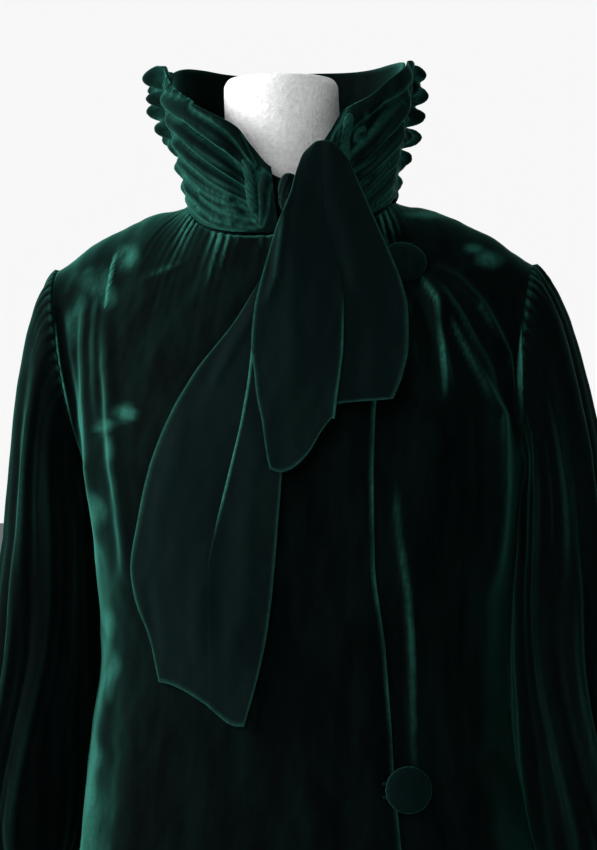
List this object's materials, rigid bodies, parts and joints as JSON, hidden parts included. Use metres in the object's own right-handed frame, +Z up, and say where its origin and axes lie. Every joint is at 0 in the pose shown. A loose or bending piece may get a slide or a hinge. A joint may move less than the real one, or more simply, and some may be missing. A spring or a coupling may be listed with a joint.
{
  "type": "velvet evening coat on a limbless dress form",
  "caption": "Full-length velvet evening coat with a ruched stand-away collar, a scarf tie, a wide lap with covered buttons and gathered sleeves, on a limbless dress form.",
  "frame": {"origin": "middle of the stand's base, on the floor", "axes": "+Z up, -Y towards the coat's front, +X towards the wearer's left"},
  "size_m": [0.7031, 0.6336, 1.5301],
  "materials": {
    "velvet": "silk velvet pile, dark green",
    "velvet_tie": "silk velvet pile, dark green, pressed flatter",
    "velvet_button": "silk velvet drawn over a dome",
    "jersey": "white knitted jersey, matt",
    "metal": "satin"
  },
  "bodies": {
    "root": {"back": "velvet", "front_right": "velvet", "front_left": "velvet", "sleeve_right": "velvet", "sleeve_left": "velvet", "cuff_right": "velvet", "cuff_left": "velvet", "collar_stand": "velvet", "collar_swag_1": "velvet", "collar_swag_2": "velvet", "collar_swag_3": "velvet", "collar_swag_4": "velvet", "collar_swag_5": "velvet", "collar_swag_6": "velvet", "collar_ring_1": "velvet", "collar_ring_2": "velvet", "collar_ring_3": "velvet", "collar_ring_4": "velvet", "collar_ring_5": "velvet", "tie_knot": "velvet_tie", "tie_long_end": "velvet_tie", "tie_short_end": "velvet_tie", "button_upper": "velvet_button", "button_lower": "velvet_button", "loop_upper": "velvet_button", "loop_lower": "velvet_button", "form_body": "jersey", "form_pole": "metal", "form_base": "metal"}
  },
  "joints": []
}
